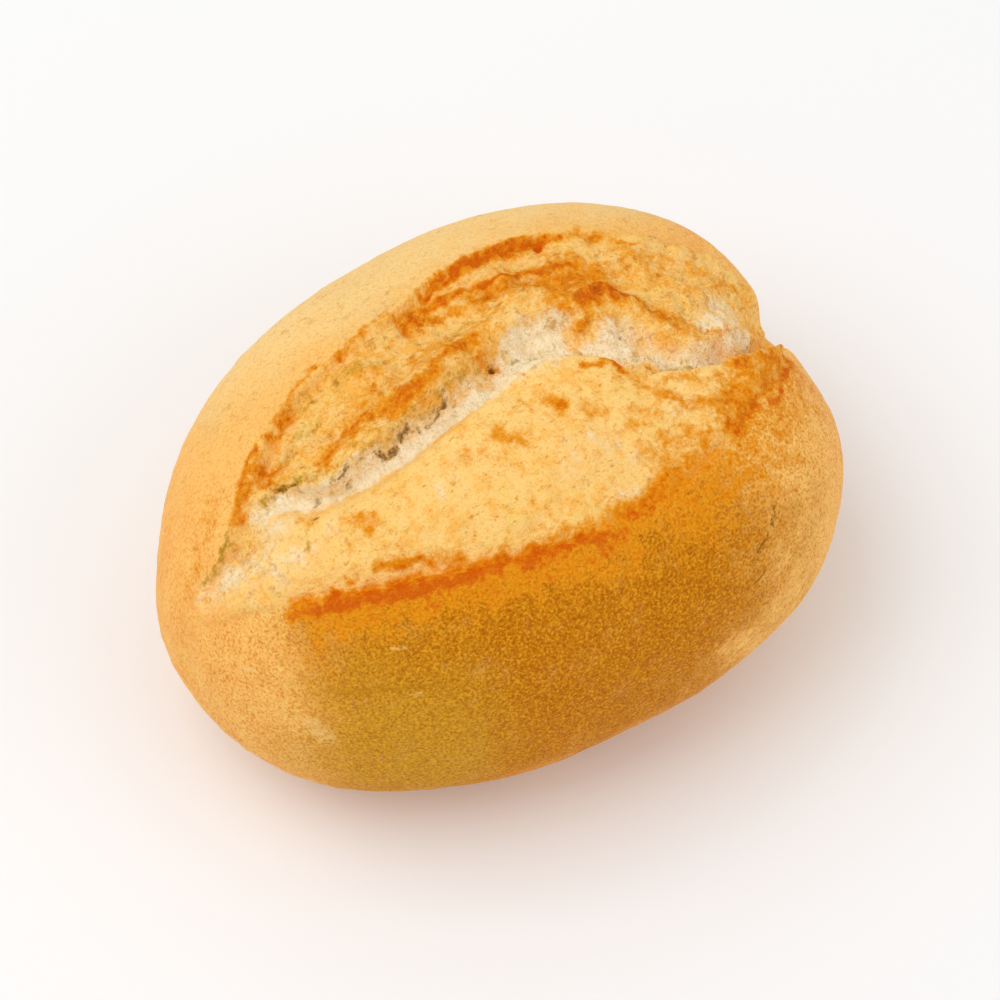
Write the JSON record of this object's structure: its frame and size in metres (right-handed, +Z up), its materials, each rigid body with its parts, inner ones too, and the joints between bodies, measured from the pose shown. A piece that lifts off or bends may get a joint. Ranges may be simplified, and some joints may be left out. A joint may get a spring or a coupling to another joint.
{
  "type": "wheat bun",
  "caption": "Crusty oblong bread roll with a rounded body, a flat base and a split, torn top that runs along its length.",
  "frame": {"origin": "middle of the flat base, at the bottom centre of the bounding box", "axes": "+X along the bun towards its blunt end, where the raised flap corner is, +Y away from the near lip, +Z up"},
  "size_m": [0.105, 0.081, 0.061],
  "materials": {
    "crust": "golden brown baked crust, dry and faintly grainy, paler and rough where it is torn"
  },
  "bodies": {
    "root": {"bun": "crust"}
  },
  "joints": []
}
